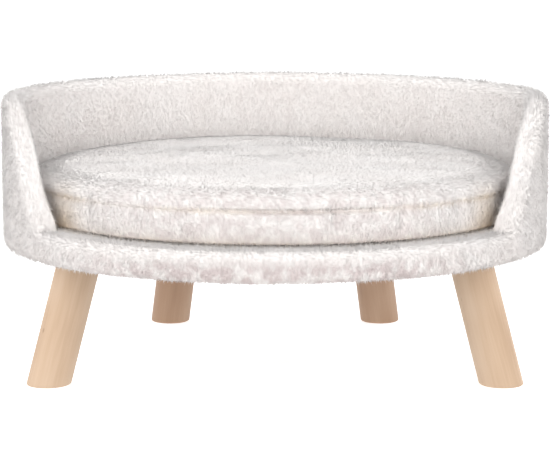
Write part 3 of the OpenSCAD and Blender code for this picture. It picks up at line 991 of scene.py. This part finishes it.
def fur_on_cushion(cushion):
    """Hairs on the cushion, but for its sewn underside and the zip's tape."""
    def furry(centres, facing, numbers):
        radius = radius_of(centres)
        back = np.abs(np.abs(angle_of(centres)) - math.pi)
        zipped = (back < ZIP_HALF_SPAN + 0.02) & (np.abs(centres[:, 2] - ZIP_Z) < 7 * MM)
        covered = (centres[:, 2] > CUSHION_LOW_Z + 2 * MM) | (radius > BAND_R - 3 * MM)
        return covered & ~(zipped & (radius > 0.9 * CUSHION_R))

    roots, normals = scatter(cushion, HAIRS_PER_M2, 61, furry)
    radius = radius_of(roots)
    # Down the side, and combed one way over the crown
    spread = np.clip(radius / CUSHION_R, 0, 1)[:, None] ** 3
    naps = unit(spread * (0.5 * unit(roots * [1, 1, 0]) - [0, 0, 0.9]) + [0.15, -0.6, 0])
    naps = unit(naps - normals * np.sum(naps * normals, axis=1, keepdims=True))
    top = (normals[:, 2] > 0.6) & (radius < CUSHION_R - 16 * MM)

    def within(tips):
        limit = CUSHION_R + 0.9 * MM + 1.5 * front_bulge(angle_of(tips))
        shrink = np.minimum(1, limit / np.maximum(radius_of(tips), 1e-9))
        tips = tips * np.stack([shrink, shrink, np.ones_like(shrink)], -1)
        tips[:, 2] = np.maximum(tips[:, 2], CUSHION_LOW_Z + 0.2 * MM - EDGE_SINK)
        return tips

    # The pile lies shorter and calmer on the crown than round the side
    wild = eased(rising(radius, 0.80 * CUSHION_R, 0.18 * CUSHION_R))[:, None]
    length = CROWN_HAIR + (HAIR_LENGTH - CROWN_HAIR) * wild
    lift = 0.16 + 0.24 * wild
    clumping = 0.10 + 0.38 * wild
    near = roots[:, 1] < 0
    groups = {"fur_cushion_top_front": top & near, "fur_cushion_top_back": top & ~near,
              "fur_cushion_side_front": ~top & near, "fur_cushion_side_back": ~top & ~near}
    for number, (name, chosen) in enumerate(groups.items()):
        grow(name, "cushion", (roots, normals, naps), chosen, 200 + number * 10,
             length[chosen], lift[chosen], clumping[chosen], within)


def build_cushion_base():
    """The woven panel under the cushion."""
    points, faces = disc_grid(BAND_R - 9.5 * MM, 4 * MM, CUSHION_LOW_Z + 1.3 * MM,
                              CUSHION_LOW_Z + 0.4 * MM)
    piece = make_mesh("cushion_lining", points, faces)
    finish_piece(piece, "cushion", "base_cloth", LINING, "cushion_base_panel")


def curved_boxes(name, boxes):
    """Small solids bent round the drum's axis, each from its first and last angle, inner
    and outer radius, and lower and upper height."""
    points, faces = [], []
    for start, stop, inner, outer, low, high in boxes:
        steps = max(int((stop - start) / 0.02), 1)
        base = len(points)
        for a in np.linspace(start, stop, steps + 1):
            for r, z in ((inner, low), (outer, low), (outer, high), (inner, high)):
                points.append([r * math.sin(a), -r * math.cos(a), z])
        faces.append([base, base + 1, base + 2, base + 3])
        for k in range(steps):
            near, far = base + 4 * k, base + 4 * k + 4
            for c in range(4):
                d = (c + 1) % 4
                faces.append([near + c, far + c, far + d, near + d])
        end = base + 4 * steps
        faces.append([end + 3, end + 2, end + 1, end])
    return make_mesh(name, np.array(points), faces, smooth=False)


def box_angles(node):
    """First and last angle of a small node behind the axis, from straight ahead."""
    low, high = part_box(node)
    return math.atan2(high[0], -low[1]), math.atan2(low[0], -high[1])


def soften(piece, width):
    """Rounds the edges a little."""
    bevel = piece.modifiers.new("Bevel", "BEVEL")
    bevel.width = width
    bevel.segments = 2
    bevel.limit_method = "ANGLE"
    apply_modifiers(piece)


def build_zip():
    """The zip round the cushion's back: tape, coil teeth, slider body and pull."""
    tape_t, tooth_pitch, tooth_tall = 1.0 * MM, 2.2 * MM / ZIP_R, 2.0 * MM
    start, stop = math.pi - ZIP_HALF_SPAN, math.pi + ZIP_HALF_SPAN
    tape = curved_boxes("zip_cloth", [(start, stop, ZIP_R + 0.05 * MM, ZIP_R + tape_t,
                                       tape_low[2] + 0.1 * MM, tape_high[2] - 0.1 * MM)])
    finish_piece(tape, "cushion", "zip_tape", ZIP_CLOTH, "cushion_zip_tape")
    teeth = []
    a = start + tooth_pitch
    while a < stop - tooth_pitch:
        for side in (-1, 1):
            shift = 0.25 * side * tooth_pitch
            low = ZIP_Z + (-1.7 * MM if side < 0 else -0.3 * MM)
            teeth.append((a + shift, a + shift + 0.42 * tooth_pitch, ZIP_R + tape_t - 0.1 * MM,
                          ZIP_R + tape_t + 1.1 * MM, low, low + tooth_tall))
        a += tooth_pitch
    coil = curved_boxes("zip_coil", teeth)
    finish_piece(coil, "cushion", "zip_tape", ZIP_CLOTH)

    # Slider: two plates joined by a neck, a bridge on top and a pull with an eye
    body_in, body_out = ZIP_R + 2.4 * MM, ZIP_R + 4.7 * MM
    first, last = box_angles("cushion_zip_slider")
    slim = 0.12 * (last - first)
    plates = [(first + inset, last - inset, inner, outer, ZIP_Z - half, ZIP_Z + half)
              for inset, inner, outer, half in (
                  (0, body_in, body_in + 0.7 * MM, 3.2 * MM),
                  (slim, body_in + 0.6 * MM, body_out - 0.7 * MM, 2.4 * MM),
                  (2 * slim, body_out - 0.8 * MM, body_out, 1.0 * MM))]
    slider = curved_boxes("zip_slider_body", plates)
    soften(slider, 0.25 * MM)
    finish_piece(slider, "zip_slider", "zip_metal", NICKEL, "cushion_zip_slider")
    pull_first, pull_last = box_angles("cushion_zip_pull")
    eye = 3.0 * MM / ZIP_R
    low, high = ZIP_Z - 2.1 * MM, ZIP_Z + 2.1 * MM
    inner, outer = body_out + 0.05 * MM, body_out + 0.85 * MM
    rim = 1.2 * MM
    # The tab is a bar with a frame round its eye at the slider's end
    tab = [(pull_first + 2 * eye, pull_last, inner, outer, low + 0.5 * MM, high - 0.5 * MM),
           (pull_first, pull_first + 2.2 * eye, inner, outer, low, low + rim),
           (pull_first, pull_first + 2.2 * eye, inner, outer, high - rim, high),
           (pull_first, pull_first + 0.4 * eye, inner, outer, low + rim * 0.9, high - rim * 0.9)]
    pull = curved_boxes("zip_pull_tab", tab)
    soften(pull, 0.2 * MM)
    finish_piece(pull, "zip_slider", "zip_metal", NICKEL, "cushion_zip_pull")


# ---- legs

LEG_STEPS = 96


def build_leg(name, worn=1.6 * MM):
    """A round leg cut level at the foot, with a small worn edge, in its own slanted frame."""
    node = frame["nodes"][name]
    low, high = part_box(name)
    co, _ = vertex_arrays(node.data)
    foot = co[co[:, 2] < low[2] + 1e-5]
    head = co[co[:, 2] > high[2] - 1e-5]
    foot_centre = (foot.min(0) + foot.max(0)) / 2
    head_centre = (head.min(0) + head.max(0)) / 2
    axis = Vector(head_centre - foot_centre).normalized()
    outward = Vector((foot_centre[0], foot_centre[1], 0)).normalized()
    along_x = (outward - axis * outward.dot(axis)).normalized()
    along_y = axis.cross(along_x)
    turn = Matrix((along_x, along_y, axis)).transposed().to_4x4()
    place = Matrix.Translation(Vector(foot_centre)) @ turn
    back = np.array(place.inverted())
    up = np.array(axis)
    across = np.cross(up, unit(np.array(outward)))
    radius = np.abs((foot - foot_centre) @ unit(across)).max()
    angles = circle(LEG_STEPS)[:, None]
    rim = np.cos(angles) * np.array(along_x) + np.sin(angles) * np.array(along_y)
    # Radius and height of each level cut, from foot to head
    profile = [(radius - worn * 2.2, 0.0), (radius - worn, 0.0),
               (radius - worn * 0.4, worn * 0.35), (radius - worn * 0.08, worn * 0.8),
               (radius, worn * 1.6)]
    profile += [(radius, h) for h in np.linspace(worn * 3, high[2], 24)]
    rows = []
    for r, h in profile:
        # Points on the slanted bar where it crosses the level plane at this height
        ring = r * rim
        lift = (h - ring[:, 2] - foot_centre[2]) / up[2]
        rows.append(foot_centre + ring + lift[:, None] * up)
    side = np.stack(rows, 1).reshape(-1, 3)
    world = np.concatenate([side, [rows[0].mean(0)], [rows[-1].mean(0)]])
    local = (back @ np.c_[world, np.ones(len(world))].T).T[:, :3]
    piece = make_mesh(name + "_turned", local, lathed_faces(len(rows), LEG_STEPS))
    piece.matrix_world = place
    # Back legs take the darker copy of the wood: painted shade from the drum above
    finish_piece(piece, name, "leg_wood", LEG_WOOD_SHADED if "back" in name else LEG_WOOD, name)


# ---- stage

# The reference view: lens in millimetres, place in drum radii, and how far it looks down
CAMERA_LENS = 150.6
CAMERA_DISTANCE, CAMERA_HEIGHT = 8.4435, 1.7331
CAMERA_PITCH = 8.318 * DEG
SKY_STRENGTH = 1.63
FLOOR_GLOW = 0.75
KEY_WATTS = 5


def build_camera():
    """The camera of the reference view: far off and a little above the rim."""
    data = bpy.data.cameras.new("camera")
    camera = link("camera", data)
    data.sensor_width = 36.0
    data.lens = CAMERA_LENS
    data.clip_end = 50
    camera.location = (0, -CAMERA_DISTANCE * DRUM_R, CAMERA_HEIGHT * DRUM_R)
    camera.rotation_euler = (math.pi / 2 - CAMERA_PITCH, 0, 0)
    bpy.context.scene.camera = camera


def build_stage():
    scene = bpy.context.scene
    scene.view_settings.view_transform = "Standard"
    # A soft studio: brightest level with the floor's far edge, less from straight above,
    # least from below
    world = bpy.data.worlds.new("studio")
    world.use_nodes = True
    tree = world.node_tree
    around_us = add_node(tree, "TexCoord", {}).outputs["Generated"]
    upward = add_node(tree, "SeparateXYZ", {"Vector": around_us}).outputs["Z"]
    height = add_node(tree, "MapRange", {"Value": upward, "From Min": -1}).outputs["Result"]
    sky = ramp(tree, height, [(0.0, (0.52, 0.50, 0.49)), (0.44, (0.80, 0.79, 0.785)),
                              (0.53, (1.0, 1.0, 1.0)), (0.75, (0.78, 0.78, 0.78)),
                              (1.0, (0.55, 0.55, 0.55))])
    feed(tree, tree.nodes["Background"], {"Color": sky, "Strength": SKY_STRENGTH})
    scene.world = world
    mesh = bpy.data.meshes.new("floor")
    half = 14.0
    corners = [(-half, -half, 0), (half, -half, 0), (half, half, 0), (-half, half, 0)]
    mesh.from_pydata(corners, [], [(0, 1, 2, 3)])
    floor = link("floor", mesh)
    floor.location.z = -0.2 * MM
    material, tree, _ = new_material("floor")
    # A white table that glows a little, as a lit studio sweep does
    feed(tree, tree.nodes["Principled BSDF"], {
        "Base Color": (0.8, 0.8, 0.8, 1), "Roughness": 0.9,
        "Emission Color": (1, 1, 1, 1), "Emission Strength": FLOOR_GLOW})
    mesh.materials.append(material)
    # The floor is seen and takes shadows, but throws no light back up
    floor.visible_diffuse = False
    data = bpy.data.lights.new("key", "AREA")
    data.shape = "DISK"
    data.size = 1.6
    data.energy = KEY_WATTS
    light = link("key", data)
    light.location = (-0.5, -1.2, 1.9)
    aim = Vector((0, 0, 0.15)) - light.location
    light.rotation_euler = aim.to_track_quat("-Z", "Y").to_euler()


build_camera()
build_stage()
dress_cad_nodes()
cover = build_cover()
fur_on_cover(cover)
build_deck()
build_dust_cover()
cushion = build_cushion()
finish_piece(cushion, "cushion", "cream_fur", PLUSH, "cushion_top_cover", "cushion_band_cover",
             "cushion_fill")
fur_on_cushion(cushion)
build_cushion_base()
build_zip()
for leg_name in ("leg_front_left", "leg_front_right", "leg_back_left", "leg_back_right"):
    build_leg(leg_name)
